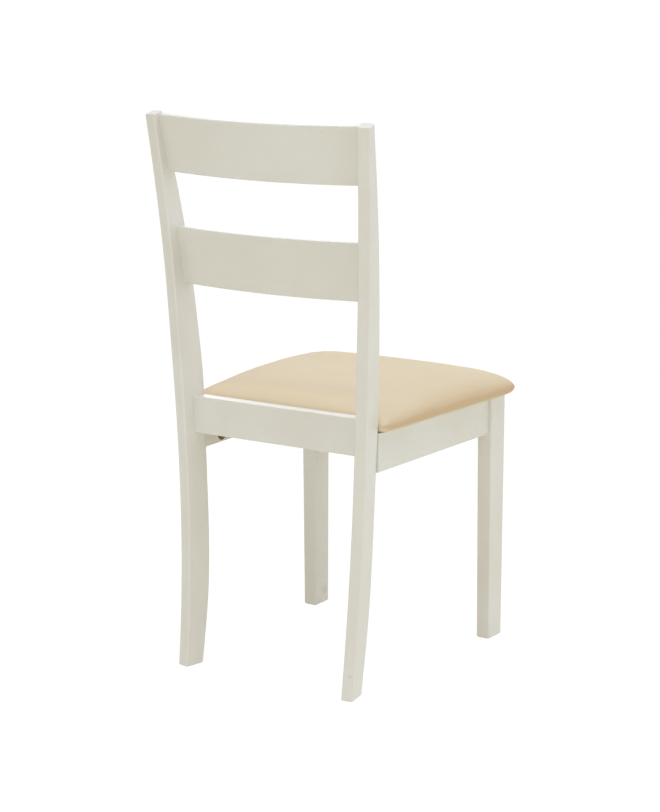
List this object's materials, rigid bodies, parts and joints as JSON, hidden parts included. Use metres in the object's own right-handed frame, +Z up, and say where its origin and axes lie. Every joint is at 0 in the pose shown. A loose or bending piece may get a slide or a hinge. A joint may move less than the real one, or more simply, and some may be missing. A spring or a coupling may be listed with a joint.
{
  "type": "dining chair",
  "caption": "Painted wooden dining chair with bowed back slats, curved splayed rear posts, tapered front legs and a padded seat on dowelled rails.",
  "frame": {"origin": "on the floor, below the middle of the bounding box", "axes": "+Z up, front of the seat towards -Y, +X towards the sitter's left"},
  "size_m": [0.4148, 0.4852, 0.9021],
  "materials": {
    "painted_wood": "satin white paint",
    "bare_wood": "raw",
    "plywood": "raw",
    "foam": "matte",
    "seat_cover": "smooth matte beige",
    "screw_steel": "zinc plated"
  },
  "bodies": {
    "root": {"rear_post_left": "painted_wood", "rear_post_right": "painted_wood", "front_leg_left": "painted_wood", "front_leg_right": "painted_wood", "crest_rail": "painted_wood", "lower_back_slat": "painted_wood", "rear_seat_rail": "painted_wood", "front_seat_rail": "painted_wood", "side_seat_rail_left": "painted_wood", "side_seat_rail_right": "painted_wood", "rear_rail_dowels": "bare_wood", "front_rail_dowels": "bare_wood", "side_rail_dowels_left": "bare_wood", "side_rail_dowels_right": "bare_wood", "corner_block_rear_left": "bare_wood", "corner_block_rear_right": "bare_wood", "corner_block_front_left": "bare_wood", "corner_block_front_right": "bare_wood", "corner_block_screws": "screw_steel", "seat_screws": "screw_steel", "cover_staples": "screw_steel", "seat_board": "plywood", "seat_foam": "foam", "seat_cover": "seat_cover"}
  },
  "joints": []
}
